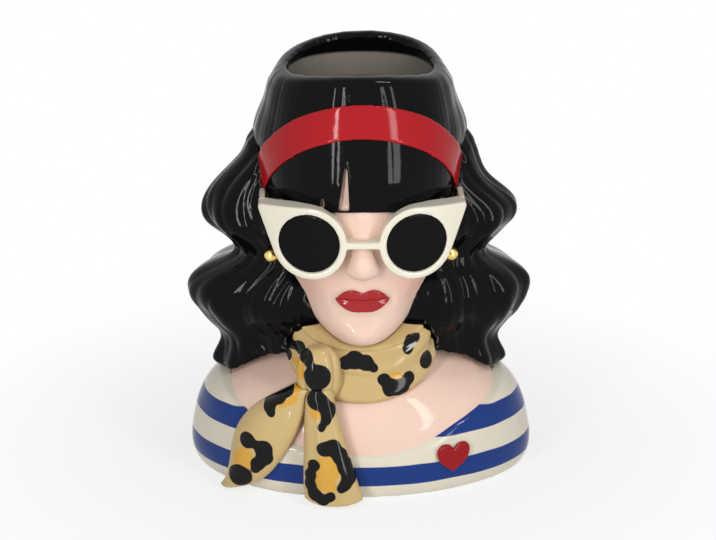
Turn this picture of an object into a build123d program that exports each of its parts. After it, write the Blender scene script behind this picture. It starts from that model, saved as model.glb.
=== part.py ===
"""Head planter: a glazed ceramic bust of a woman with waved hair, open at the crown for a plant.

Millimetres, +Z up, the face looks along -Y. The origin is the middle of the foot that it stands on.
Left and right are the viewer's, so left is -X.
"""

import os
from math import cos, pi, sin

from build123d import *

os.makedirs("parts", exist_ok=True)

# Bust and its shirt
bust_half_width = 100.0
bust_half_depth = 68.0
bust_height = 92.0
shirt_proud = 1.2
neckline_side = 59.0
neckline_front = 25.0
foot_recess = 2.0
foot_ring_width = 12.0

# Hollow for the soil, from the crown down to the floor of the bust
wall_thickness = 8.0
floor_thickness = 7.0
neck_hollow_low = 78.0

# Head, neck and face
chin_height = 88.0
crown_cover = 28.0
head_half_width = 54.0
head_front = 58.0
head_back = 56.0
neck_radius = 33.0
neck_back = 3.0
nose_low = 132.0
nose_length = 42.0
nose_half_width = 8.5
nose_reach = 10.0
mouth_width = 31.0
mouth_height = 13.0
mouth_line_height = 117.5
lip_proud = 2.4

# Hair: the crown and fringe over the skull, and the waved lengths round it
rim_height = 250.0
crown_height = 100.0
crown_half_width = 58.5
crown_front = 61.5
crown_back = 63.0
rim_drop = 6.0
rim_drop_half_width = 42.0
rim_slope = 3.3
fringe_low = 172.0
fringe_slope = 18.0
slit_width = 6.0
slit_height = 35.0
slit_side = 10.5
small_slit_width = 2.6
small_slit_height = 16.0
small_slit_side = 22.5
waves_low = 57.0
waves_height = 168.0
waves_half_width = 100.5
waves_front = 39.0
waves_back = 70.0
lock_count = 12
lock_depth = 1.5

# Headband
band_width = 17.0
band_proud = 1.4
band_slope = 47.0
band_front = 54.0
band_front_height = 221.0
band_end_height = 170.0

# Sunglasses
lens_radius = 17.0
lens_spacing = 60.0
lens_height = 154.0
lens_recess = 1.2
glasses_rim_width = 4.0
glasses_thickness = 12.0
glasses_front = 67.0
glasses_bend_radius = 102.0
tip_radius = 2.2
tip_half_span = 56.3
tip_rise = 17.6
bridge_height = 4.0
temple_width = 3.4
temple_height = 6.0
temple_length = 20.0
temple_back = 22.0

# Earrings
earring_radius = 4.3
earring_half_span = 51.5
earring_front = 26.5
earring_height = 135.0

# Scarf
scarf_low = 84.0
scarf_height = 23.5
scarf_half_width = 44.0
scarf_half_depth = 57.5
scarf_back = 24.0
scarf_front = 9.0
scarf_slope = 32.0
knot_half_width = 13.0
knot_half_depth = 11.0
knot_half_height = 16.5
knot_side = 25.0
knot_front = 56.0
knot_height = 74.0
tail_high = 68.0
tail_low = 1.5
tail_half_thickness = 9.0
left_tail_half_width = 18.0
left_tail_reach = 76.0
left_tail_sink = 8.0
left_tail_turn = 25.0
right_tail_half_width = 17.0
right_tail_reach = 27.0
right_tail_proud = 6.0
right_tail_turn = 7.0

# Heart on the shirt
heart_width = 19.5
heart_height = 17.0
heart_side = 52.5
heart_middle = 22.0
heart_proud = 2.6

overrun = 30.0
section_points = 8

# Sections of the bust from the foot up to the neck: shares of height, half width, front and back
bust_shares = ((0.0, 0.955, 0.955, 0.955), (0.065, 0.99, 0.99, 0.99), (0.16, 1.0, 1.0, 1.0),
               (0.38, 0.965, 0.965, 0.965), (0.525, 0.905, 0.9, 0.9), (0.64, 0.79, 0.8, 0.8),
               (0.735, 0.6, 0.66, 0.66), (0.84, 0.44, 0.53, 0.55), (1.0, 0.33, 0.46, 0.52))
# Sections of the hollow in the bust, from its floor to the chin: shares of height, half width, front and back
bust_hollow_shares = ((0.0, 0.88, 0.88, 0.88), (0.18, 1.0, 1.0, 1.0), (0.42, 0.96, 0.95, 0.95),
                      (0.6, 0.8, 0.8, 0.8), (0.765, 0.52, 0.54, 0.54), (0.93, 0.3, 0.39, 0.43),
                      (1.0, 0.2, 0.27, 0.3))
# Sections of the hollow from the neck up through the rim: shares of height, half width, front and back
head_hollow_shares = ((0.0, 0.554, 0.45, 0.51), (0.11, 0.522, 0.44, 0.515), (0.21, 0.6, 0.56, 0.583),
                      (0.337, 0.783, 0.74, 0.75), (0.517, 0.92, 0.84, 0.875), (0.744, 0.939, 0.852, 0.887),
                      (0.9, 0.911, 0.76, 0.804), (1.03, 0.88, 0.706, 0.758))
# Sections of the head: shares of its height above the chin, half width, front and back
head_shares = ((0.0, 0.2, 0.87, -0.62), (0.045, 0.42, 0.91, -0.1), (0.134, 0.62, 0.93, 0.35),
               (0.269, 0.8, 0.95, 0.72), (0.425, 0.92, 0.965, 0.9), (0.616, 0.99, 0.98, 1.0),
               (0.784, 1.0, 0.99, 1.0), (0.94, 0.93, 0.9, 0.92), (1.0, 0.87, 0.82, 0.84))
# Sections of the nose from its base up to the brow: shares of length, half width and reach
nose_shares = ((0.0, 0.6, 0.35), (0.06, 0.95, 0.8), (0.17, 1.0, 1.0), (0.4, 0.66, 0.72),
               (0.7, 0.56, 0.36), (1.0, 0.85, 0.0))
# Sections of the crown: shares of its height, half width, front and back
crown_shares = ((0.0, 0.955, 0.945, 0.97), (0.2, 0.985, 0.985, 1.0), (0.4, 1.0, 1.0, 1.0),
                (0.56, 0.985, 0.965, 0.98), (0.712, 0.945, 0.895, 0.92), (0.856, 0.88, 0.785, 0.81),
                (1.0, 0.8, 0.66, 0.67))
# Sections of the waved lengths: shares of their height, half width, front, back and lock depth
wave_shares = ((0.0, 0.77, 0.78, 0.76, 0.5), (0.0714, 0.825, 0.88, 0.85, 1.0),
               (0.1429, 0.815, 0.88, 0.83, 0.8), (0.2143, 0.93, 0.95, 0.94, 1.0),
               (0.2857, 1.0, 1.0, 1.0, 1.0), (0.3571, 0.94, 0.96, 0.96, 0.6),
               (0.4286, 0.725, 0.86, 0.86, 0.5), (0.5, 0.795, 0.92, 0.9, 1.0),
               (0.5714, 0.9, 0.95, 0.97, 1.0), (0.6429, 0.875, 0.86, 0.97, 0.7),
               (0.7143, 0.78, 0.78, 0.955, 0.4), (0.7857, 0.67, 0.74, 0.945, 0.3),
               (0.8571, 0.595, 0.7, 0.935, 0.2), (0.9286, 0.54, 0.55, 0.885, 0.1),
               (1.0, 0.48, 0.35, 0.78, 0.0))
# Sections of the rolled scarf from its hem up: shares of height, half width, front and back
scarf_shares = ((0.0, 0.95, 0.96, 0.96), (0.16, 1.0, 1.0, 1.0), (0.34, 0.985, 0.95, 0.96),
                (0.48, 0.93, 0.85, 0.9), (0.64, 0.92, 0.81, 0.86), (0.84, 0.89, 0.7, 0.8),
                (1.0, 0.85, 0.605, 0.7))
# Sections of the knot from below: shares of height, half width, front and back
knot_shares = ((0.0, 0.45, 0.4, 0.4), (0.08, 0.72, 0.7, 0.7), (0.25, 0.95, 0.95, 0.95),
               (0.5, 1.0, 1.0, 1.0), (0.75, 0.92, 0.92, 0.92), (0.92, 0.66, 0.65, 0.65), (1.0, 0.4, 0.4, 0.4))
# Sections of each scarf tail from the knot down: shares of drop, side reach, half width, front and thickness
left_tail_shares = ((0.0, 0.4, 0.5, 0.97, 0.8), (0.165, 0.585, 0.74, 0.95, 0.95),
                    (0.33, 0.68, 1.0, 0.93, 1.0), (0.61, 0.79, 0.95, 0.93, 1.0),
                    (0.81, 0.86, 0.75, 0.91, 0.9), (0.95, 0.95, 0.5, 0.85, 0.8), (1.0, 1.03, 0.28, 0.8, 0.7))
right_tail_shares = ((0.0, 0.91, 0.45, 0.83, 0.75), (0.25, 0.88, 0.58, 0.91, 0.85),
                     (0.5, 0.8, 0.74, 0.96, 0.9), (0.8, 0.7, 0.92, 1.0, 0.9), (1.0, 0.63, 1.0, 1.02, 0.75))


def oval(half_width, front, back, locks=0, depth=0):
    """Points of an oval that reaches front and back by its own amounts, with shallow locks round it."""
    widest = min(0, (back - front) / 2)
    count = max(section_points, 4 * locks)
    points = []
    for step in range(count):
        turn = 2 * pi * step / count
        swell = depth * cos(locks * turn)
        reach = back - widest if sin(turn) > 0 else front + widest
        points.append(((half_width + swell) * cos(turn), widest + (reach + swell) * sin(turn)))
    return points


def oval_form(shares, low, height, half_width, front, back, proud=0, locks=0, depth=0):
    """A solid through oval sections, grown outwards by proud, with locks where a share is given."""
    with BuildPart() as form:
        for level, wide, ahead, behind, *lock in shares:
            with BuildSketch(Plane.XY.offset(low + level * height)):
                with BuildLine():
                    Spline(*oval(wide * half_width + proud, ahead * front + proud, behind * back + proud,
                                 locks, depth * sum(lock)), periodic=True)
                make_face()
        loft()
    return form.part


def tail_form(shares, side, half_width, front, turn):
    """A scarf tail hanging from the knot, lofted through flat level sections."""
    with BuildPart() as form:
        for drop, reach, wide, ahead, thick in shares:
            height = tail_high - drop * (tail_high - tail_low)
            half_thickness = thick * tail_half_thickness
            facing = (cos(turn * pi / 180), -sin(turn * pi / 180), 0)
            with BuildSketch(Plane((-reach * side, -ahead * front, height), x_dir=facing)):
                with BuildLine():
                    Spline(*oval(wide * half_width, half_thickness, half_thickness), periodic=True)
                make_face()
        loft()
    return form.part


# Planes of the headband and of the fringe's hem, and the forms that several pieces share
band_plane = Plane(origin=(0, -band_front, band_front_height), x_dir=(1, 0, 0),
                   z_dir=(0, sin(band_slope * pi / 180), cos(band_slope * pi / 180)))
hem_plane = Plane(origin=(0, -crown_front, fringe_low), x_dir=(1, 0, 0),
                  z_dir=(0, sin(fringe_slope * pi / 180), cos(fringe_slope * pi / 180)))
with BuildPart() as neck_opening:
    far = bust_half_width + overrun
    with BuildSketch(Plane.YZ):
        with BuildLine():
            shoulder = Line((far, neckline_side), (0, neckline_side))
            scoop = Spline(shoulder @ 1, (-bust_half_depth, neckline_front), tangents=[(-1, 0), (-1, -1)])
            Polyline(scoop @ 1, (-far, neckline_front - overrun), (-far, far), (far, far), shoulder @ 0)
        make_face()
    extrude(amount=far, both=True)

bust_form = oval_form(bust_shares, 0, bust_height, bust_half_width, bust_half_depth, bust_half_depth)
clothed_form = oval_form(bust_shares, 0, bust_height, bust_half_width, bust_half_depth, bust_half_depth,
                         shirt_proud)
with BuildPart() as shirt:
    add(clothed_form)
    add(neck_opening.part, mode=Mode.SUBTRACT)
bust_hollow = oval_form(bust_hollow_shares, floor_thickness, chin_height - floor_thickness,
                        bust_half_width - wall_thickness, bust_half_depth - wall_thickness,
                        bust_half_depth - wall_thickness)
head_hollow = oval_form(head_hollow_shares, neck_hollow_low, rim_height - neck_hollow_low,
                        head_half_width - wall_thickness, head_front - wall_thickness,
                        head_back - wall_thickness)
head_height = rim_height - crown_cover - chin_height
head_form = oval_form(head_shares, chin_height, head_height, head_half_width, head_front, head_back)
crown_low = rim_height - crown_height
with BuildPart() as crown:
    add(oval_form(crown_shares, crown_low, crown_height, crown_half_width, crown_front, crown_back))
    split(bisect_by=hem_plane, keep=Keep.TOP)

with BuildPart() as neck:
    with BuildSketch(Plane.XY.offset(neckline_side)):
        with Locations((0, neck_back)):
            Circle(neck_radius)
    extrude(amount=nose_low - neckline_side)

# Chest, neck and head, cast as one with the hollow inside
with BuildPart() as head_and_chest:
    add(bust_form)
    add(neck_opening.part, mode=Mode.INTERSECT)
    add(neck.part)
    add(head_form)
    for level, wide, ahead in nose_shares:
        with BuildSketch(Plane.XY.offset(nose_low + level * nose_length)):
            with BuildLine():
                reach = head_front + ahead * nose_reach
                Spline(*oval(wide * nose_half_width, reach, nose_reach - head_front), periodic=True)
            make_face()
    loft()
    for hollow in (bust_hollow, head_hollow):
        add(hollow, mode=Mode.SUBTRACT)
head_and_chest.part.label = "head_and_chest"
export_step(head_and_chest.part, "parts/head_and_chest.step")

# Striped shirt: the lower shell of the bust, with its floor and foot ring
with BuildPart() as shirt_bust:
    add(shirt.part)
    add(bust_hollow, mode=Mode.SUBTRACT)
    with BuildSketch(Plane.XY):
        foot_share = bust_shares[0][1]
        Ellipse(foot_share * bust_half_width - foot_ring_width,
                foot_share * bust_half_depth - foot_ring_width)
    extrude(amount=foot_recess, mode=Mode.SUBTRACT)
shirt_bust.part.label = "shirt_bust"
export_step(shirt_bust.part, "parts/shirt_bust.step")

# Crown of the hair, behind the headband, with the arched rim of the opening
with BuildPart() as hair_crown:
    add(crown.part)
    split(bisect_by=band_plane, keep=Keep.TOP)
    rim_arch_radius = (rim_drop_half_width**2 + rim_drop**2) / (2 * rim_drop)
    rim_plane = Plane(origin=(0, crown_back, rim_height), x_dir=(1, 0, 0),
                      z_dir=(0, -cos(rim_slope * pi / 180), -sin(rim_slope * pi / 180)))
    with BuildSketch(rim_plane):
        with Locations((0, -rim_arch_radius)):
            Circle(rim_arch_radius)
    extrude(amount=crown_front + crown_back + overrun, both=True, mode=Mode.INTERSECT)
    add(head_form, mode=Mode.SUBTRACT)
    add(head_hollow, mode=Mode.SUBTRACT)
hair_crown.part.label = "hair_crown"
export_step(hair_crown.part, "parts/hair_crown.step")

# Fringe below the headband, with its hem over the brow and two narrow partings
with BuildPart() as hair_fringe:
    add(crown.part)
    split(bisect_by=band_plane, keep=Keep.BOTTOM)
    add(head_form, mode=Mode.SUBTRACT)
    with BuildSketch(Plane.XZ):
        for side, width, height in ((slit_side, slit_width, slit_height),
                                    (small_slit_side, small_slit_width, small_slit_height)):
            with BuildLine():
                Polyline((-side - width / 2, fringe_low), (-side + width / 2, fringe_low),
                         (-side + width / 4, fringe_low + height), close=True)
            make_face()
    extrude(amount=crown_front + overrun, mode=Mode.SUBTRACT)
hair_fringe.part.label = "hair_fringe"
export_step(hair_fringe.part, "parts/hair_fringe.step")

# Headband, a strip on the hair along the sloping band plane
with BuildPart() as band:
    add(oval_form(crown_shares, crown_low, crown_height, crown_half_width, crown_front, crown_back,
                  band_proud))
    with BuildSketch(band_plane.offset(-band_width / 2)):
        Circle(2 * (crown_front + crown_back))
    extrude(amount=band_width, mode=Mode.INTERSECT)
    split(bisect_by=Plane.XY.offset(band_end_height), keep=Keep.TOP)

with BuildPart() as headband:
    add(band.part)
    add(crown.part, mode=Mode.SUBTRACT)
headband.part.label = "headband"
export_step(headband.part, "parts/headband.step")

# Scarf round the front of the neck, rolled in two folds, with its ends under the hair
scarf_place = Plane(origin=(0, -scarf_front, scarf_low)).rotated((scarf_slope, 0, 0))
with BuildPart() as scarf:
    with Locations(scarf_place.location):
        add(oval_form(scarf_shares, 0, scarf_height, scarf_half_width, scarf_half_depth, scarf_back))

with BuildPart() as scarf_wrap:
    add(scarf.part)
    for carrier in (bust_form, neck.part, head_form):
        add(carrier, mode=Mode.SUBTRACT)
scarf_wrap.part.label = "scarf_wrap"
export_step(scarf_wrap.part, "parts/scarf_wrap.step")

# Knot of the scarf, a plump fold on the left of the wrap
with BuildPart() as scarf_knot:
    with Locations((-knot_side, -knot_front, knot_height - knot_half_height)):
        add(oval_form(knot_shares, 0, 2 * knot_half_height, knot_half_width, knot_half_depth,
                      knot_half_depth))
    for carrier in (bust_form, scarf.part, neck.part, head_form):
        add(carrier, mode=Mode.SUBTRACT)
scarf_knot.part.label = "scarf_knot"
export_step(scarf_knot.part, "parts/scarf_knot.step")

# Tails of the scarf, hanging from the knot down over the shirt
with BuildPart() as scarf_tail_right:
    add(tail_form(right_tail_shares, right_tail_reach, right_tail_half_width,
                  bust_half_depth + right_tail_proud, right_tail_turn))
    for carrier in (bust_form, shirt.part, scarf.part, scarf_knot.part):
        add(carrier, mode=Mode.SUBTRACT)
scarf_tail_right.part.label = "scarf_tail_right"
export_step(scarf_tail_right.part, "parts/scarf_tail_right.step")

with BuildPart() as scarf_tail_left:
    add(tail_form(left_tail_shares, left_tail_reach, left_tail_half_width,
                  bust_half_depth - left_tail_sink, left_tail_turn))
    for carrier in (bust_form, shirt.part, scarf.part, scarf_knot.part, scarf_tail_right.part):
        add(carrier, mode=Mode.SUBTRACT)
scarf_tail_left.part.label = "scarf_tail_left"
export_step(scarf_tail_left.part, "parts/scarf_tail_left.step")

# Heart raised on the shirt: two lobes and a point, following the bust
with BuildPart() as heart_badge:
    add(oval_form(bust_shares, 0, bust_height, bust_half_width, bust_half_depth, bust_half_depth,
                  shirt_proud + heart_proud))
    with BuildSketch(Plane.XZ):
        with BuildLine():
            heart_top = heart_middle + heart_height / 4
            cleft = Vector(heart_side, heart_top)
            point = Vector(heart_side, heart_middle - heart_height / 2)
            shoulder = Vector(heart_side + heart_width / 2, heart_top)
            lobe_top = Vector(heart_side + heart_width / 4, heart_top + heart_height / 4)
            lobe = ThreePointArc(cleft, lobe_top, shoulder)
            flank = Spline(shoulder, point, tangents=[(0, -1), (-1, -1)])
            mirror(about=Plane.YZ.offset(heart_side))
        make_face()
    extrude(amount=bust_half_depth + overrun, mode=Mode.INTERSECT)
    add(shirt.part, mode=Mode.SUBTRACT)
heart_badge.part.label = "heart_badge"
export_step(heart_badge.part, "parts/heart_badge.step")

# Lips, two raised curves on the face
with BuildPart() as lips:
    add(oval_form(head_shares, chin_height, head_height, head_half_width, head_front, head_back, lip_proud))
    with BuildSketch(Plane.XZ):
        with BuildLine():
            corner = Vector(mouth_width / 2, mouth_line_height)
            bow = Spline(corner, (mouth_width / 6, mouth_line_height + mouth_height / 2),
                         (0, mouth_line_height + mouth_height / 3))
            under = Spline(corner, (mouth_width / 5, mouth_line_height - mouth_height / 2),
                           (0, mouth_line_height - mouth_height / 2))
            mirror(about=Plane.YZ)
        make_face()
    extrude(amount=head_front + overrun, mode=Mode.INTERSECT)
    for carrier in (head_and_chest.part, head_hollow):
        add(carrier, mode=Mode.SUBTRACT)
lips.part.label = "lips"
export_step(lips.part, "parts/lips.step")

# Front of the sunglasses: two round rims drawn out to pointed tips, a bridge, and a bend round the face
with BuildPart() as sunglasses_front:
    with BuildSketch(Plane.XZ):
        with Locations((lens_spacing / 2, lens_height)):
            Circle(lens_radius + glasses_rim_width)
        with Locations((tip_half_span, lens_height + tip_rise)):
            Circle(tip_radius)
        make_hull()
        mirror(about=Plane.YZ)
        with Locations((0, lens_height)):
            Rectangle(lens_spacing, bridge_height)
        with Locations((-lens_spacing / 2, lens_height), (lens_spacing / 2, lens_height)):
            Circle(lens_radius, mode=Mode.SUBTRACT)
    extrude(amount=glasses_front + overrun)
    with BuildSketch():
        with Locations((0, glasses_bend_radius - glasses_front)):
            Circle(glasses_bend_radius)
            Circle(glasses_bend_radius - glasses_thickness, mode=Mode.SUBTRACT)
    extrude(amount=rim_height, mode=Mode.INTERSECT)
    for carrier in (head_and_chest.part, hair_fringe.part):
        add(carrier, mode=Mode.SUBTRACT)
sunglasses_front.part.label = "sunglasses_front"
export_step(sunglasses_front.part, "parts/sunglasses_front.step")

# Lenses, set a little back in the rims, and temples from the tips back to the hair
temples = []
earrings = []
for hand, side in (("left", -1), ("right", 1)):
    with BuildPart() as lens:
        with BuildSketch(Plane.XZ):
            with Locations((side * lens_spacing / 2, lens_height)):
                Circle(lens_radius)
        extrude(amount=glasses_front + overrun)
        with BuildSketch():
            with Locations((0, glasses_bend_radius - glasses_front)):
                Circle(glasses_bend_radius - lens_recess)
                Circle(glasses_bend_radius - glasses_thickness, mode=Mode.SUBTRACT)
        extrude(amount=rim_height, mode=Mode.INTERSECT)
        for carrier in (head_and_chest.part, hair_fringe.part):
            add(carrier, mode=Mode.SUBTRACT)
    lens.part.label = f"lens_{hand}"
    export_step(lens.part, f"parts/lens_{hand}.step")

    with BuildPart() as temple:
        with BuildSketch(Plane.XZ.offset(temple_back)):
            with Locations((side * tip_half_span, lens_height + tip_rise)):
                Rectangle(temple_width, temple_height)
        extrude(amount=temple_length)
        for carrier in (sunglasses_front.part, crown.part, band.part):
            add(carrier, mode=Mode.SUBTRACT)
    temple.part.label = f"temple_{hand}"
    export_step(temple.part, f"parts/temple_{hand}.step")
    temples.append(temple)

    with BuildPart() as earring:
        with Locations((side * earring_half_span, -earring_front, earring_height)):
            Sphere(earring_radius)
        add(head_form, mode=Mode.SUBTRACT)
    earring.part.label = f"earring_{hand}"
    export_step(earring.part, f"parts/earring_{hand}.step")
    earrings.append(earring)

# Waved lengths of the hair, in three rolls with shallow locks, down to the shoulders
with BuildPart() as hair_waves:
    add(oval_form(wave_shares, waves_low, waves_height, waves_half_width, waves_front, waves_back,
                  locks=lock_count, depth=lock_depth))
    for carrier in (crown.part, head_form, neck.part, clothed_form, scarf.part, band.part):
        add(carrier, mode=Mode.SUBTRACT)
    for small in temples + earrings:
        add(small.part, mode=Mode.SUBTRACT)
hair_waves.part.label = "hair_waves"
export_step(hair_waves.part, "parts/hair_waves.step")
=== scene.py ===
"""Looks of the glazed ceramic head planter: cast forms, hand-painted glazes and a plain white studio.

Metres, +Z up, the face looks along -Y. Left and right are the viewer's.
"""
import math

import bmesh
import bpy
import numpy as np
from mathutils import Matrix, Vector
from mathutils.bvhtree import BVHTree


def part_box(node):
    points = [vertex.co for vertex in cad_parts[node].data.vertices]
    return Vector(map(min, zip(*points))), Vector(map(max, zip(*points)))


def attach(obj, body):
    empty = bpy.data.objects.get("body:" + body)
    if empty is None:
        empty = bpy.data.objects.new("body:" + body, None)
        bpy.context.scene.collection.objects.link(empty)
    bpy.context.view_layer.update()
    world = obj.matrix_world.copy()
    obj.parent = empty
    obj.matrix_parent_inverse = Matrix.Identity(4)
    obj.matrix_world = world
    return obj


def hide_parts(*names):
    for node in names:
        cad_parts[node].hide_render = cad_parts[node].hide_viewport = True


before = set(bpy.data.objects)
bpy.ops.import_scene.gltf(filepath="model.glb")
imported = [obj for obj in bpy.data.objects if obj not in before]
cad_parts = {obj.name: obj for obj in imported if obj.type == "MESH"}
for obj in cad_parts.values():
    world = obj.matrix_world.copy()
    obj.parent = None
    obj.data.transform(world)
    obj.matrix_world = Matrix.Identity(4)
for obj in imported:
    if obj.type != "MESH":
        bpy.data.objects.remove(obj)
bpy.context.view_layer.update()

# The striped shirt is the lower shell of the bust, slip-cast in earthenware with a closed floor and a foot
# ring. It is brushed cream, with two cobalt stripes banded by hand, under a clear gloss glaze.
mm = 0.001
cream = (0.66, 0.605, 0.5, 1.0)
cobalt = (0.007, 0.034, 0.185, 1.0)
bisque = (0.24, 0.215, 0.185, 1.0)
stripe_heights = (14.5 * mm, 40.5 * mm)
stripe_half_width = 6.0 * mm
stripe_wobble = 2.0 * mm
brush_edge = 0.25 * mm
weld_gap = 0.01 * mm


def sponge(form, corners, passes):
    """Rounds some corners of a form off a little more with each pass, as a wet sponge does on raw clay."""
    for _ in range(passes):
        bmesh.ops.smooth_vert(form, verts=corners, factor=0.5,
                              use_axis_x=True, use_axis_y=True, use_axis_z=True)


def cast(name, node, voxel, soften):
    """A casting of a CAD node: one closed skin, its edges softened as a mould and a glaze soften them."""
    form = bmesh.new()
    form.from_mesh(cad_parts[node].data)
    bmesh.ops.remove_doubles(form, verts=form.verts, dist=weld_gap)
    mesh = bpy.data.meshes.new(name)
    form.to_mesh(mesh)
    form.free()
    piece = bpy.data.objects.new(name, mesh)
    bpy.context.collection.objects.link(piece)
    remesh = piece.modifiers.new("cast", "REMESH")
    remesh.mode = "VOXEL"
    remesh.voxel_size = voxel
    posed = piece.evaluated_get(bpy.context.evaluated_depsgraph_get())
    skin = bmesh.new()
    skin.from_mesh(posed.to_mesh())
    posed.to_mesh_clear()
    piece.modifiers.clear()
    sponge(skin, skin.verts, soften)
    for face in skin.faces:
        face.smooth = True
    skin.to_mesh(mesh)
    skin.free()
    mesh.materials.clear()
    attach(piece, "root")
    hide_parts(node)
    return piece


def places_of(piece):
    """Places of a piece's vertices, one row each."""
    places = np.empty(3 * len(piece.data.vertices))
    piece.data.vertices.foreach_get("co", places)
    return places.reshape(-1, 3)


def normals_of(piece):
    """Outward normals at a piece's vertices, one row each."""
    normals = np.empty(3 * len(piece.data.vertices))
    piece.data.vertex_normals.foreach_get("vector", normals)
    return normals.reshape(-1, 3)


def faces_inward(piece):
    """True at the vertices of a piece whose surface looks towards the upright through the middle."""
    return (normals_of(piece)[:, :2] * places_of(piece)[:, :2]).sum(axis=1) < 0


def mark(piece, name, values):
    """Stores one number per vertex for a material to read."""
    layer = piece.data.attributes.new(name, "FLOAT", "POINT")
    layer.data.foreach_set("value", np.asarray(values, dtype=np.float32))


def place(tree, kind, inputs=(), **settings):
    """Adds a shader node, with its settings and its inputs, which are values or other nodes' sockets."""
    made = tree.nodes.new("ShaderNode" + kind)
    for key, value in settings.items():
        setattr(made, key, value)
    for socket, value in dict(inputs).items():
        if isinstance(value, bpy.types.NodeSocket):
            tree.links.new(value, made.inputs[socket])
        else:
            made.inputs[socket].default_value = value
    return made


def math_of(tree, operation, first, second=0.0, third=0.0):
    """One value worked out from others."""
    return place(tree, "Math", {0: first, 1: second, 2: third}, operation=operation).outputs[0]


def stored(tree, name):
    """The number that is stored at each vertex under a name."""
    return place(tree, "Attribute", attribute_name=name).outputs["Fac"]


def edge_of(tree, distance, edge):
    """A mask that is 1 where a distance is below zero, with a brushed edge of the given width."""
    limits = {"Value": distance, "From Min": -edge, "From Max": edge, "To Min": 1.0, "To Max": 0.0}
    return place(tree, "MapRange", limits, interpolation_type="SMOOTHSTEP").outputs["Result"]


def painted(tree, mask, under, over):
    """The colour over where the mask is 1, and the colour under elsewhere."""
    return place(tree, "Mix", {0: mask, 6: under, 7: over}, data_type="RGBA").outputs[2]


glaze_group = bpy.data.node_groups.new("gloss_glaze", "ShaderNodeTree")
for socket in ("Pooling", "Ripple"):
    glaze_group.interface.new_socket(socket, in_out="INPUT", socket_type="NodeSocketFloat")
for socket, kind in (("Tone", "Float"), ("Roughness", "Float"), ("Normal", "Vector")):
    glaze_group.interface.new_socket(socket, in_out="OUTPUT", socket_type="NodeSocket" + kind)
group_in = glaze_group.nodes.new("NodeGroupInput")
group_out = glaze_group.nodes.new("NodeGroupOutput")
here = place(glaze_group, "TexCoord").outputs["Object"]
cloud = place(glaze_group, "TexNoise", {"Vector": here, "Scale": 28.0, "Detail": 3.0}).outputs["Fac"]
cloud = math_of(glaze_group, "SUBTRACT", cloud, 0.5)
tone = math_of(glaze_group, "MULTIPLY_ADD", cloud, group_in.outputs["Pooling"], 1.0)
speck = place(glaze_group, "TexNoise", {"Vector": here, "Scale": 90.0, "Detail": 4.0}).outputs["Fac"]
sheen = {"Value": speck, "From Min": 0.3, "From Max": 0.75, "To Min": 0.04, "To Max": 0.12}
rough = place(glaze_group, "MapRange", sheen).outputs["Result"]
peel = place(glaze_group, "TexNoise", {"Vector": here, "Scale": 140.0, "Detail": 2.0}).outputs["Fac"]
relief = {"Height": peel, "Strength": group_in.outputs["Ripple"], "Distance": 0.6 * mm}
bump = place(glaze_group, "Bump", relief).outputs["Normal"]
for socket, value in (("Tone", tone), ("Roughness", rough), ("Normal", bump)):
    glaze_group.links.new(value, group_out.inputs[socket])


def glaze(name, pooling=0.12, ripple=0.06, gloss=0.3):
    """A new gloss-glazed material, with its node tree, glaze group and shader."""
    material = bpy.data.materials.new(name)
    material.use_nodes = True
    tree = material.node_tree
    shader = tree.nodes["Principled BSDF"]
    group = place(tree, "Group", {"Pooling": pooling, "Ripple": ripple}, node_tree=glaze_group)
    tree.links.new(group.outputs["Roughness"], shader.inputs["Roughness"])
    tree.links.new(group.outputs["Normal"], shader.inputs["Normal"])
    shader.inputs["Specular IOR Level"].default_value = gloss
    return material, tree, group, shader


def finish_colour(tree, group, shader, colour):
    """Sends a colour to the shader, a little deeper where the glaze has pooled."""
    layers = {0: 1.0, 6: colour, 7: group.outputs["Tone"]}
    tint = place(tree, "Mix", layers, data_type="RGBA", blend_type="MULTIPLY")
    tree.links.new(tint.outputs[2], shader.inputs["Base Color"])


shirt = cast("shirt", "shirt_bust", voxel=1.4 * mm, soften=2)
mark(shirt, "inside", faces_inward(shirt))
material, tree, group, shader = glaze("shirt_glaze", gloss=0.17)
here = place(tree, "TexCoord").outputs["Object"]
height = place(tree, "SeparateXYZ", {0: here}).outputs["Z"]
wobble = place(tree, "TexNoise", {"Vector": here, "Scale": 35.0, "Detail": 1.0}).outputs["Fac"]
wobble = math_of(tree, "SUBTRACT", wobble, 0.5)
height = math_of(tree, "MULTIPLY_ADD", wobble, stripe_wobble, height)
offsets = [math_of(tree, "SUBTRACT", height, level) for level in stripe_heights]
nearest = math_of(tree, "MINIMUM", *[math_of(tree, "ABSOLUTE", offset) for offset in offsets])
stripe = edge_of(tree, math_of(tree, "SUBTRACT", nearest, stripe_half_width), brush_edge)
striped = painted(tree, stripe, cream, cobalt)
finish_colour(tree, group, shader, painted(tree, stored(tree, "inside"), striped, bisque))
shirt.data.materials.append(material)

# The head, neck and chest are one hollow casting, luted into the shirt. Its skin glaze is a warm pale pink,
# airbrushed with blush on the cheeks, and the hollow inside is left unglazed.
skin_pink = (0.765, 0.55, 0.455, 1.0)
blush_pink = (0.74, 0.33, 0.27, 1.0)
blush_places = [(side * 33 * mm, -44 * mm, 127 * mm) for side in (-1, 1)]
blush_reach = 24.0 * mm
blush_strength = 0.42
hollow_heights = np.array((80, 115, 135, 160)) * mm
hollow_radii = np.array((29, 30, 40, 46)) * mm
neckline_side = 59 * mm
neckline_dip = 34 * mm
chest_depth = 68 * mm
shoulder_top = 75 * mm
hem_band = 8 * mm
hem_drop = 6 * mm
brow_half_width = 17 * mm
brow_front = -38 * mm
brow_low = 147 * mm
brow_high = 176 * mm
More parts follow.
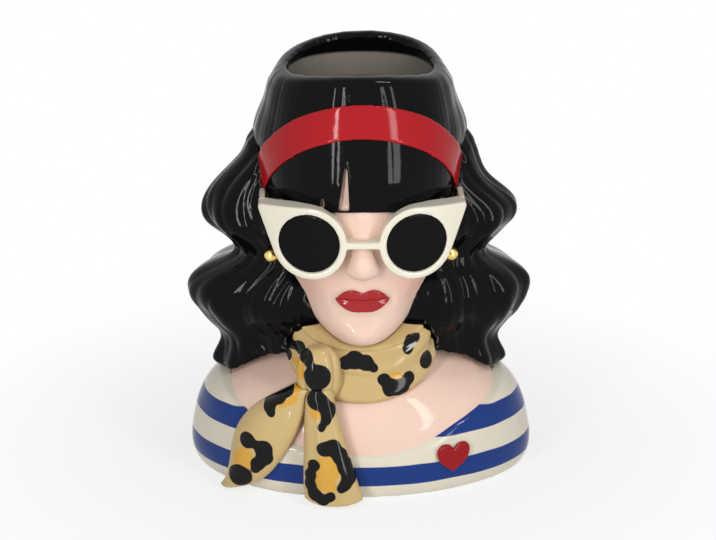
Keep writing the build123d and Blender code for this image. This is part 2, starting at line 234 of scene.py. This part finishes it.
# centre, reach and move of each touch, in millimetres: the wide neckline, then the cheekbones, the hollows
# below them, the wings of the nose, the corners of the mouth and the brow, and then the middle of the face
neckline_touches = (((70, -22, 54), (30, 62, 34), (5.0, 1.2, -2.6)),)
side_touches = (((32, -46, 138), (20, 26, 20), (1.5, -2.2, 0)),
                ((30, -44, 112), (16, 20, 16), (-1.2, 0.8, 0)),
                ((8, -60, 136), (6, 9, 6), (1.2, 0, 0.3)),
                ((17, -54, 116), (7, 8, 7), (0, 1.4, 0)),
                ((8, -53, 160), (7, 11, 18), (0, -3.4, 0)))
middle_touches = (((0, -56, 162), (6, 12, 16), (0, 2.0, 0)),
                  ((0, -56, 127), (3.5, 9, 6), (0, 1.0, 0)),
                  ((0, -53, 105), (15, 10, 6), (0, 1.8, 0)),
                  ((0, -50, 95), (16, 14, 10), (0, -2.4, -0.4)))


def ramp(values, start, reach):
    """A share that goes from 0 at the start to 1 a reach further on; a negative reach lies below it."""
    return np.clip((values - start) / reach, 0, 1)


def brush(places, touches, side=1):
    """Moves the vertices round each touch, most at its centre, none beyond its reach; side -1 mirrors it."""
    scale = np.array((side, 1, 1)) * mm
    for centre, reach, move in touches:
        away = np.linalg.norm((places - centre * scale) / (np.array(reach) * mm), axis=1)
        fall = ramp(away, 1.0, -1.0)
        fall = fall * fall * (3.0 - 2.0 * fall)
        places += fall[:, None] * (move * scale)


def brush_both(places, touches):
    """Brushes the left side and then the right side alike."""
    for side in (-1, 1):
        brush(places, touches, side)


def reshape(piece, places):
    """Moves a piece's vertices to new places."""
    piece.data.vertices.foreach_set("co", places.ravel())
    piece.data.update()


def rework(piece, chosen, passes):
    """Sponges the chosen part of a piece smooth."""
    form = bmesh.new()
    form.from_mesh(piece.data)
    sponge(form, [corner for corner in form.verts if chosen(corner.co)], passes)
    form.to_mesh(piece.data)
    form.free()


def in_brow(spot):
    """True on the brow and the root of the nose."""
    return abs(spot.x) < brow_half_width and spot.y < brow_front and brow_low < spot.z < brow_high


head = cast("head", "head_and_chest", voxel=1.35 * mm, soften=3)
places = places_of(head)
within = np.hypot(places[:, 0], places[:, 1]) < np.interp(places[:, 2], hollow_heights, hollow_radii)
low_hollow = (places[:, 2] < hollow_heights[0]) & (normals_of(head)[:, 2] < 0)
mark(head, "inside", faces_inward(head) & within | low_hollow)
neckline = neckline_side - neckline_dip * ramp(-places[:, 1], 0, chest_depth) ** 2
hem = ramp(np.abs(places[:, 2] - neckline), hem_band, -hem_band) * (places[:, 2] < shoulder_top)
places[:, 2] -= hem_drop * hem
brush_both(places, neckline_touches)
brush_both(places, side_touches)
brush(places, middle_touches)
reshape(head, places)
rework(head, in_brow, passes=30)
collar = places_of(shirt)
brush_both(collar, neckline_touches)
reshape(shirt, collar)
material, tree, group, shader = glaze("skin_glaze", pooling=0.08, gloss=0.17)
here = place(tree, "TexCoord").outputs["Object"]
skin = skin_pink
for centre in blush_places:
    away = place(tree, "VectorMath", {0: here, 1: centre}, operation="DISTANCE").outputs["Value"]
    fading = {"Value": away, "From Min": 0.0, "From Max": blush_reach,
              "To Min": blush_strength, "To Max": 0.0}
    bloom = place(tree, "MapRange", fading, interpolation_type="SMOOTHSTEP").outputs["Result"]
    skin = painted(tree, bloom, skin, blush_pink)
finish_colour(tree, group, shader, painted(tree, stored(tree, "inside"), skin, bisque))
head.data.materials.append(material)

# The lips stand a little proud of the face, pressed on as a thin pad of clay and parted with a modelling
# tool. They are brushed in glossy red.
lip_red = (0.33, 0.012, 0.016, 1.0)
mouth_line = 117.5 * mm
mouth_rise = 0.02
mouth_width = 1.1 * mm
mouth_depth = 1.3 * mm


def plain_glaze(name, colour, **feel):
    """A glaze of one colour, a little deeper where it has pooled."""
    material, tree, group, shader = glaze(name, **feel)
    finish_colour(tree, group, shader, colour)
    return material


lips = cast("painted_lips", "lips", voxel=0.5 * mm, soften=4)
places = places_of(lips)
above_line = places[:, 2] - mouth_line - mouth_rise * np.abs(places[:, 0])
places[:, 1] += mouth_depth * np.exp(-((above_line / mouth_width) ** 2))
reshape(lips, places)
lips.data.materials.append(plain_glaze("lip_glaze", lip_red, pooling=0.2, ripple=0.05))

# The crown of the hair is a casting with the rim of the planter's opening, luted on the head. It is dipped,
# as all the hair is, in a deep black gloss glaze, which runs a little way down inside and stops at a line.
hair_black = (0.0025, 0.0025, 0.0028, 1.0)
glaze_line = 237.0 * mm
glaze_line_edge = 1.0 * mm
rim_low = 234.0 * mm
comb_centre = 10 * mm
curl_length = 13 * mm
comb_below = 6 * mm
comb_above = 2 * mm
root_fade = 16 * mm
tip_fade = 10 * mm
shoulder_start = 43.5 * mm
shoulder_reach = 8 * mm
shoulder_low = 231 * mm
shoulder_rise = 15 * mm
shoulder_draw = 4.3 * mm
back_reach = 25 * mm
back_low = 218 * mm
back_rise = 25 * mm
right_reach = 32 * mm
rim_lean = 6.5 * mm
right_lean = 2.5 * mm
right_lift = 1.5 * mm
# the crown widens above the waves, which move out with it, and so does the headband
flare_touches = (((56, 10, 203), (30, 50, 22), (4, 0, 0)),)

hair_material, tree, group, shader = glaze("hair_glaze", pooling=0.5, ripple=0.06, gloss=0.085)
here = place(tree, "TexCoord").outputs["Object"]
depth = math_of(tree, "SUBTRACT", place(tree, "SeparateXYZ", {0: here}).outputs["Z"], glaze_line)
bare = math_of(tree, "MULTIPLY", stored(tree, "inside"), edge_of(tree, depth, glaze_line_edge))
finish_colour(tree, group, shader, painted(tree, bare, hair_black, bisque))


def cast_hair(name, node, voxel):
    """A casting of a piece of hair in its black glaze."""
    hair = cast(name, node, voxel, soften=3)
    mark(hair, "inside", faces_inward(hair))
    hair.data.materials.append(hair_material)
    return hair


def furrows(turn, count, bend, drift, waver, sharpness, level):
    """Heights of rows of furrows round the head, unevenly spaced and bent sideways."""
    return np.abs(np.sin(math.pi * (turn * count + bend + drift * np.sin(turn * waver)))) ** sharpness - level


def comb(piece, node, locks, depth, strands, fine, sway):
    """Presses soft locks and finer strands into a piece of hair, running down it and swaying as they fall."""
    places = places_of(piece)
    normals = normals_of(piece)
    low, high = [corner[2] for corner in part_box(node)]
    turn = np.arctan2(places[:, 0], comb_centre - places[:, 1]) / (2 * math.pi)
    height = places[:, 2]
    bend = sway * np.sin(height / curl_length + 0.8 * np.sin(turn * 25.0))
    lock = furrows(turn, locks, bend, drift=0.3, waver=31.0, sharpness=0.7, level=0.7)
    strand = furrows(turn, strands, 1.6 * bend, drift=0.5, waver=47.0, sharpness=0.8, level=0.65)
    fade = ramp(height, low - comb_below, tip_fade) * ramp(height, high + comb_above, -root_fade)
    upright = 1.0 - np.abs(normals[:, 2]) ** 4
    reshape(piece, places + normals * ((depth * lock + fine * strand) * fade * upright)[:, None])


crown = cast_hair("hair_top", "hair_crown", voxel=1.2 * mm)
places = places_of(crown)
shoulder = ramp(np.abs(places[:, 0]), shoulder_start, shoulder_reach)
shoulder *= ramp(places[:, 2], shoulder_low, shoulder_rise)
places[:, 0] -= shoulder_draw * shoulder * np.sign(places[:, 0])
back = ramp(places[:, 1], 0, back_reach) * ramp(places[:, 2], back_low, back_rise)
right = ramp(places[:, 0], 0, right_reach)
places[:, 1] += (rim_lean + right_lean * right) * back
places[:, 2] += right_lift * right * back
brush_both(places, flare_touches)
reshape(crown, places)
rework(crown, lambda spot: spot.z > rim_low, passes=14)
comb(crown, "hair_crown", locks=22, depth=0.4 * mm, strands=66, fine=0.12 * mm, sway=0.1)

# The fringe is a thin casting luted on the forehead below the headband, cut straight, with partings that let
# the skin show. It is combed straight down and glazed with the crown.
fringe = cast_hair("fringe", "hair_fringe", voxel=0.7 * mm)
comb(fringe, "hair_fringe", locks=20, depth=0.22 * mm, strands=58, fine=0.05 * mm, sway=0.0)

# The waved lengths are one casting in three rolls round the sides and the back, luted on the head, the crown
# and the shoulders. The locks are pressed in with a comb, and the hem rises towards the scarf.
hem_height = 40 * mm
hem_front = 20 * mm
hem_rise = 10 * mm
hem_outside = 78 * mm
hem_reach = 32 * mm
seat_fade = 8 * mm
seat_share = 0.8
# the right side is modelled a little lower than the left, and the lowest waist is fuller on both sides
right_touches = (((80, 10, 174), (45, 60, 19), (-7, 0, 0)), ((80, 10, 136), (30, 60, 11), (3.5, 0, 0)),
                 ((98, 10, 102), (45, 60, 14), (-2.6, 0, 0)))
waist_touches = (((85, 10, 85), (30, 60, 12), (3.4, 0, 0)),)


def surface_of(mesh):
    """A mesh as a surface that places and rays can be tried against."""
    corners = [corner.co for corner in mesh.vertices]
    return BVHTree.FromPolygons(corners, [face.vertices for face in mesh.polygons])


def seat(piece, under, reach, low, high):
    """Beds the thin edges of a piece, between two heights, in the piece that it is luted on."""
    ground = surface_of(under.data)
    places = places_of(piece)
    fade = ramp(places[:, 2], low, seat_fade) * ramp(places[:, 2], high, -seat_fade)
    for index in np.flatnonzero(fade):
        spot = Vector(places[index])
        near, slope, _, away = ground.find_nearest(spot, reach)
        if near is not None:
            depth = reach if slope.dot(spot - near) < 0 else reach - away
            places[index] -= seat_share * fade[index] * depth * np.array(slope)
    reshape(piece, places)


rolls = cast_hair("hair_rolls", "hair_waves", voxel=1.3 * mm)
comb(rolls, "hair_waves", locks=26, depth=1.3 * mm, strands=72, fine=0.4 * mm, sway=0.35)
places = places_of(rolls)
hem_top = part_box("hair_waves")[0][2] + hem_height
hem = ramp(places[:, 2], hem_top, -hem_height) * ramp(places[:, 1], 0, -hem_front)
places[:, 2] += hem_rise * hem * ramp(np.abs(places[:, 0]), hem_outside, -hem_reach)
brush_both(places, flare_touches)
brush(places, right_touches)
brush_both(places, waist_touches)
reshape(rolls, places)
seat(rolls, head, reach=5 * mm, low=92 * mm, high=158 * mm)
seat(rolls, crown, reach=4 * mm, low=176 * mm, high=240 * mm)

# The headband is a raised strip of clay, laid over the hair from side to side and smoothed down at its ends.
# It is brushed in bright red under the clear glaze.
band_red = (0.36, 0.008, 0.012, 1.0)
band = cast("red_headband", "headband", voxel=0.7 * mm, soften=2)
places = places_of(band)
brush_both(places, flare_touches)
reshape(band, places)
band.data.materials.append(plain_glaze("band_glaze", band_red, pooling=0.25, gloss=0.15))

# The sunglasses are modelled by hand and luted on: a cat-eye front with its temples in cream glaze, and
# two round lenses set back in the rims, painted black.
frame_cream = (0.71, 0.665, 0.55, 1.0)
lens_black = (0.005, 0.005, 0.005, 1.0)
frame_nodes = {"cat_eye_front": "sunglasses_front", "arm_left": "temple_left", "arm_right": "temple_right"}
lens_nodes = {"dark_lens_left": "lens_left", "dark_lens_right": "lens_right"}
frame_glaze = plain_glaze("frame_glaze", frame_cream, pooling=0.1)
for name, node in frame_nodes.items():
    piece = cast(name, node, voxel=0.7 * mm, soften=3)
    piece.data.materials.append(frame_glaze)
lens_glaze = plain_glaze("lens_glaze", lens_black, pooling=0.3, ripple=0.04, gloss=0.06)
for name, node in lens_nodes.items():
    piece = cast(name, node, voxel=0.7 * mm, soften=1)
    piece.data.materials.append(lens_glaze)

# The earrings are small balls of clay, set in the hair beside the cheeks. They are brushed with gold lustre,
# which is fired on over the glaze and comes out satin.
lustre_gold = (0.83, 0.58, 0.2, 1.0)
satin_roughness = 0.2
ball_nodes = {"gold_ball_left": "earring_left", "gold_ball_right": "earring_right"}
material, tree, group, shader = glaze("gold_lustre", pooling=0.2, ripple=0.01)
finish_colour(tree, group, shader, lustre_gold)
satin = math_of(tree, "ADD", group.outputs["Roughness"], satin_roughness)
tree.links.new(satin, shader.inputs["Roughness"])
shader.inputs["Metallic"].default_value = 1.0
for name, node in ball_nodes.items():
    piece = cast(name, node, voxel=0.3 * mm, soften=6)
    piece.data.materials.append(material)

# The scarf is a rolled band with a knot and two tails, modelled on the neck and chest. Its leopard print is
# brushed in ochre and black over a tan glaze: each ochre patch has black blotches round it.
scarf_tan = (0.53, 0.385, 0.175, 1.0)
patch_ochre = (0.6, 0.33, 0.055, 1.0)
blotch_black = (0.006, 0.0055, 0.005, 1.0)
patch_softness = 3.0 * mm
blotch_softness = 3.6 * mm
print_spread = 1.2
print_jitter = 1.2 * mm
print_depth_share = 0.5
seam_width = 2.6 * mm
seam_reach = 6 * mm
tail_middle = -18 * mm
tail_half_width = 17 * mm
tail_hem_height = 20 * mm
tail_corner_rise = 3 * mm
# brush touches on each part of the scarf, in millimetres: place across, height and radius. Each is aimed from
# well ahead, and one that misses takes the depth of the part's nearest place to the scarf's front
well_ahead = -100
scarf_front = -60
blotch_touches = {
    "scarf_wrap": ((-40, 83, 2.5), (-36, 83.5, 3.5), (-43, 76.5, 2.5), (-44, 72.5, 2.5), (-42.5, 70, 1),
                   (-10, 79, 3), (-4.5, 80.5, 4), (2, 79, 3.5), (6.5, 76.5, 2),
                   (27.5, 88, 3), (31, 89.5, 2), (26, 84.5, 2.5), (37, 77, 3), (37, 74.5, 3),
                   (12, 69.5, 3), (16, 64.5, 4), (22, 64, 4), (26.5, 68.5, 3)),
    "scarf_knot": ((-32.5, 86.5, 3.5), (-30.5, 84, 2), (-26, 75.5, 6.5)),
    "scarf_tail_left": ((-43, 66.5, 3.5), (-48.5, 62.5, 4), (-52.5, 60, 3.5), (-53.5, 56, 3),
                        (-52.5, 52.5, 2),
                        (-66.5, 35, 4), (-61.5, 33.5, 1.5), (-57, 31, 4.5), (-56.5, 25.5, 4),
                        (-60.5, 21.5, 3.5), (-62, 17.5, 2), (-71, 12, 6)),
    "scarf_tail_right": ((-27, 63, 4.5), (-23, 62, 3), (-20, 57.5, 4), (-21.5, 52.5, 2.5), (-24, 48.5, 2),
                         (-22.5, 36.5, 3.5), (-17.5, 37, 4), (-13.5, 32, 4), (-10.5, 26, 4), (-8, 20, 4),
                         (-10.5, 15.5, 3), (-13, 13, 2),
                         (-28.5, 26.5, 3), (-30.5, 20.5, 3), (-30.5, 14.5, 3), (-28, 9, 3.5), (-23.5, 6, 3),
                         (-19, 8, 2.5))}
patch_touches = {
    "scarf_wrap": ((-39, 75.5, 1.5), (19, 69.5, 3)),
    "scarf_knot": ((-37.5, 80, 3.5), (-36, 76, 3)),
    "scarf_tail_left": ((-42.5, 64, 5), (-38, 67.5, 2.5), (-47, 59.5, 2.5),
                        (-68, 25.5, 4), (-70.5, 22.5, 4), (-66, 20.5, 2.5)),
    "scarf_tail_right": ((-27.5, 56, 3), (-20.5, 25, 6.5), (-23, 17.5, 4.5), (-19, 14, 3))}
scarf_pieces = (("scarf_roll", "scarf_wrap", 0.85 * mm), ("knot", "scarf_knot", 0.6 * mm),
                ("tail_left", "scarf_tail_left", 0.7 * mm), ("tail_right", "scarf_tail_right", 0.7 * mm))
# folds in each piece, in millimetres: the line that a fold follows, its width and its depth
folds = {
    "scarf_roll": ((((-12, -55, 73), (0, -58, 71), (12, -57.5, 71),
                     (22, -55, 74), (30, -50, 78), (38, -40, 84)), 1.6, 0.9),),
    "knot": ((((-17, -61, 89), (-15, -65, 73), (-18, -65, 59)), 1.8, 1.3),
             (((-33, -60, 87), (-35.5, -63, 76), (-31, -66, 61)), 1.8, 1.3)),
    "tail_left": ((((-36, -67, 66), (-50, -68, 46), (-58, -68, 28), (-68, -64, 9)), 3.5, 1.2),),
    "tail_right": ((((-22, -73, 64), (-19, -80, 36), (-17, -83, 6)), 3.5, 1.0),
                   (((-29, -71, 60), (-29, -79, 30), (-30, -82, 6)), 3.0, 0.8))}


def touched(touches):
    """Places and radii of brush touches, each on the front of its part of the scarf."""
    spots = []
    for node, rows in touches.items():
        surface = surface_of(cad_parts[node].data)
        for across, height, radius in rows:
            spot = surface.ray_cast(Vector((across, well_ahead, height)) * mm, Vector((0, 1, 0)))[0]
            if spot is None:
                spot = surface.find_nearest(Vector((across, scarf_front, height)) * mm)[0]
            spots.append((across * mm, spot.y, height * mm, radius * mm))
    return spots


def printed(tree, here, spots, softness):
    """Distance outside a group of round brush spots that run together."""
    flatten = (1.0, print_depth_share, 1.0)
    flat = place(tree, "VectorMath", {0: here, 1: flatten}, operation="MULTIPLY").outputs["Vector"]
    grain = place(tree, "TexNoise", {"Vector": here, "Scale": 90.0, "Detail": 1.0}).outputs["Color"]
    shift = place(tree, "VectorMath", {0: grain, 1: (0.5, 0.5, 0.5)}, operation="SUBTRACT").outputs["Vector"]
    shift = place(tree, "VectorMath", {0: shift, "Scale": print_jitter}, operation="SCALE").outputs["Vector"]
    there = place(tree, "VectorMath", {0: flat, 1: shift}, operation="ADD").outputs["Vector"]
    reach = None
    for x, y, z, radius in spots:
        centre = (x, print_depth_share * y, z)
        away = place(tree, "VectorMath", {0: there, 1: centre}, operation="DISTANCE").outputs["Value"]
        away = math_of(tree, "SUBTRACT", away, print_spread * radius)
        reach = away if reach is None else math_of(tree, "SMOOTH_MIN", reach, away, softness)
    return reach


def seamed(tree, colour):
    """A colour with the black of the hair brushed over the seam between them."""
    past_seam = math_of(tree, "SUBTRACT", stored(tree, "hair_gap"), seam_width)
    return painted(tree, edge_of(tree, past_seam, brush_edge), colour, hair_black)


def measure_seam(piece, hair):
    """Stores how far each vertex of a piece lies from the surface of the hair, up to a reach."""
    gaps = [hair.find_nearest(Vector(spot), seam_reach)[3] for spot in places_of(piece)]
    mark(piece, "hair_gap", [seam_reach if gap is None else gap for gap in gaps])


def press_fold(piece, line, width, depth):
    """Presses a soft fold along a line of places, all in millimetres."""
    places = places_of(piece)
    line = np.array(line) * mm
    nearest = np.full(len(places), np.inf)
    for start, end in zip(line[:-1], line[1:]):
        along = ramp((places - start) @ (end - start), 0, (end - start) @ (end - start))
        nearest = np.minimum(nearest, np.linalg.norm(places - start - along[:, None] * (end - start), axis=1))
    press = depth * mm * np.exp(-((nearest / (width * mm)) ** 2))
    reshape(piece, places - normals_of(piece) * press[:, None])


material, tree, group, shader = glaze("scarf_glaze", pooling=0.14, gloss=0.15)
here = place(tree, "TexCoord").outputs["Object"]
patch = edge_of(tree, printed(tree, here, touched(patch_touches), patch_softness), brush_edge)
blotch = edge_of(tree, printed(tree, here, touched(blotch_touches), blotch_softness), brush_edge)
leopard = painted(tree, blotch, painted(tree, patch, scarf_tan, patch_ochre), blotch_black)
finish_colour(tree, group, shader, seamed(tree, leopard))
waved_hair = surface_of(rolls.data)
for name, node, voxel in scarf_pieces:
    piece = cast(name, node, voxel, soften=5)
    for line, width, depth in folds[name]:
        press_fold(piece, line, width, depth)
    measure_seam(piece, waved_hair)
    piece.data.materials.append(material)
right_tail = piece
places = places_of(right_tail)
corner = ramp(np.abs(places[:, 0] - tail_middle), 0, tail_half_width) ** 2
places[:, 2] += tail_corner_rise * corner * ramp(places[:, 2], tail_hem_height, -tail_hem_height)
reshape(right_tail, places)

# The heart is a small puffed badge, pressed in a mould and luted on the shirt over the lower stripe.
# It is brushed red under the clear glaze.
heart_red = (0.28, 0.007, 0.011, 1.0)
heart = cast("heart", "heart_badge", voxel=0.5 * mm, soften=8)
heart.data.materials.append(plain_glaze("heart_glaze", heart_red, pooling=0.2, gloss=0.15))

# The studio is a white floor and background, a tall narrow lamp on each side and a small one above, and the
# camera a little above the face, as in the photograph.
white = (1.0, 1.0, 1.0, 1.0)
floor_white = (0.85, 0.85, 0.85, 1.0)
floor_roughness = 0.9
floor_half_size = 40.0
sky_strength = 0.24
backdrop_strength = 1.0
lamps = (("left", (-0.37, -0.69, 0.46), (0.0, 0.0, 0.46), (0.05, 0.9), 4.0),
         ("right", (0.47, -0.64, 0.46), (0.0, 0.0, 0.46), (0.1, 0.9), 3.7),
         ("above", (0.45, -0.42, 1.3), (0.0, 0.0, 0.1), (0.12, 0.12), 2.0))
aim = Vector((-0.0012, 0.0, 0.116))
azimuth = math.radians(-1.5)
elevation = math.radians(20.0)
camera_distance = 1.3
sensor_width = 36.0
focal_length = 111.1


def seen_of(tree):
    """1 for what the camera sees, by itself or in a mirror or through glass, and 0 for plain light."""
    path = place(tree, "LightPath")
    seen = math_of(tree, "ADD", path.outputs["Is Camera Ray"], path.outputs["Is Glossy Ray"])
    return math_of(tree, "ADD", seen, path.outputs["Is Transmission Ray"])


floor_form = bmesh.new()
bmesh.ops.create_grid(floor_form, x_segments=1, y_segments=1, size=floor_half_size)
floor_mesh = bpy.data.meshes.new("floor")
floor_form.to_mesh(floor_mesh)
floor_form.free()
floor = bpy.data.objects.new("floor", floor_mesh)
bpy.context.collection.objects.link(floor)
material = bpy.data.materials.new("floor_white")
material.use_nodes = True
tree = material.node_tree
shader = tree.nodes["Principled BSDF"]
shader.inputs["Base Color"].default_value = floor_white
shader.inputs["Roughness"].default_value = floor_roughness
glow = place(tree, "Emission", {"Color": white, "Strength": backdrop_strength})
here = place(tree, "TexCoord").outputs["Object"]
away = place(tree, "VectorMath", {0: here}, operation="LENGTH").outputs["Value"]
clearing = {"Value": away, "From Min": 0.1, "From Max": 0.3, "To Min": 0.75, "To Max": 1.0}
whiteness = place(tree, "MapRange", clearing).outputs["Result"]
share = math_of(tree, "MULTIPLY", seen_of(tree), whiteness)
blend = place(tree, "MixShader", {0: share, 1: shader.outputs["BSDF"], 2: glow.outputs["Emission"]})
tree.links.new(blend.outputs["Shader"], tree.nodes["Material Output"].inputs["Surface"])
floor_mesh.materials.append(material)

world = bpy.data.worlds.new("studio")
bpy.context.scene.world = world
world.use_nodes = True
tree = world.node_tree
sky = tree.nodes["Background"]
sky.inputs["Color"].default_value = white
sky.inputs["Strength"].default_value = sky_strength
backdrop = place(tree, "Background", {"Color": white, "Strength": backdrop_strength})
sides = {0: seen_of(tree), 1: sky.outputs["Background"], 2: backdrop.outputs["Background"]}
blend = place(tree, "MixShader", sides)
tree.links.new(blend.outputs["Shader"], tree.nodes["World Output"].inputs["Surface"])

for name, spot, towards, size, power in lamps:
    lamp = bpy.data.lights.new(name, "AREA")
    lamp.shape = "RECTANGLE"
    lamp.size, lamp.size_y = size
    lamp.energy = power
    light = bpy.data.objects.new(name, lamp)
    light.location = spot
    light.rotation_euler = (Vector(towards) - Vector(spot)).to_track_quat("-Z", "Y").to_euler()
    bpy.context.collection.objects.link(light)

level_out = math.cos(elevation)
outward = Vector((math.sin(azimuth) * level_out, -math.cos(azimuth) * level_out, math.sin(elevation)))
lens = bpy.data.cameras.new("camera")
lens.sensor_width = sensor_width
lens.lens = focal_length
camera = bpy.data.objects.new("camera", lens)
camera.location = aim + camera_distance * outward
camera.rotation_euler = (-outward).to_track_quat("-Z", "Y").to_euler()
bpy.context.collection.objects.link(camera)
bpy.context.scene.camera = camera
bpy.context.scene.view_settings.view_transform = "Standard"
